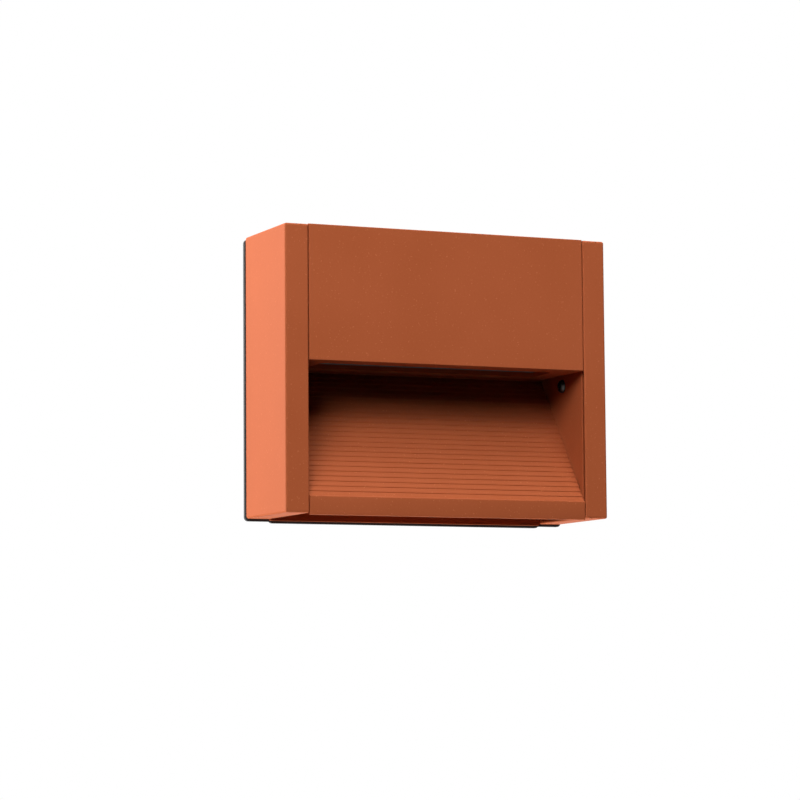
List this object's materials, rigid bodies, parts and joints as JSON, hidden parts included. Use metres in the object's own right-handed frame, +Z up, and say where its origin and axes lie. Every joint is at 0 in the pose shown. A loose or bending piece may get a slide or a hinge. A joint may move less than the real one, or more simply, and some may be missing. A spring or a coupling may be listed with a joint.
{
  "type": "wall light",
  "caption": "Outdoor wall light: a hooded box visor throws light down onto a sloped, ribbed reflector between two square end frames.",
  "frame": {"origin": "on the wall plane, in the middle of the four wall screws", "axes": "+X to the right as seen from in front, +Y into the wall, +Z up"},
  "size_m": [0.1996, 0.0625, 0.1629],
  "materials": {
    "terracotta_coat": "fine matt powder coat",
    "stainless": "plain stainless",
    "black_rubber": "matt",
    "grey_silicone": "satin",
    "clear_glass": "clear",
    "plain_aluminium": "mill finish",
    "board_white": "satin solder mask",
    "led_package": "matt",
    "driver_case": "fine texture",
    "terminal_plastic": "smooth",
    "brass_plated": "plain",
    "lead_sleeve": "smooth"
  },
  "bodies": {
    "root": {"left_end_frame": "terracotta_coat", "right_end_frame": "terracotta_coat", "left_side_plate": "terracotta_coat", "right_side_plate": "terracotta_coat", "left_end_gasket": "grey_silicone", "right_end_gasket": "grey_silicone", "side_plate_screws": "stainless", "cheek_screws": "stainless", "frame_screws": "stainless", "locking_screws": "stainless", "visor_housing": "terracotta_coat", "ribbed_reflector": "terracotta_coat", "back_plate": "terracotta_coat", "wall_gasket": "black_rubber", "cable_grommet": "black_rubber", "lens": "clear_glass", "lens_gasket": "grey_silicone", "led_carrier": "plain_aluminium", "gear_tray": "plain_aluminium", "led_board": "board_white", "led_chips": "led_package", "board_screws": "stainless", "led_driver": "driver_case", "driver_screws": "stainless", "terminal_block": "terminal_plastic", "terminal_screws": "brass_plated", "terminal_fixings": "stainless", "earth_lug": "brass_plated", "earth_screw": "stainless", "mains_leads": "lead_sleeve", "led_leads": "lead_sleeve", "earth_lead": "lead_sleeve"}
  },
  "joints": []
}
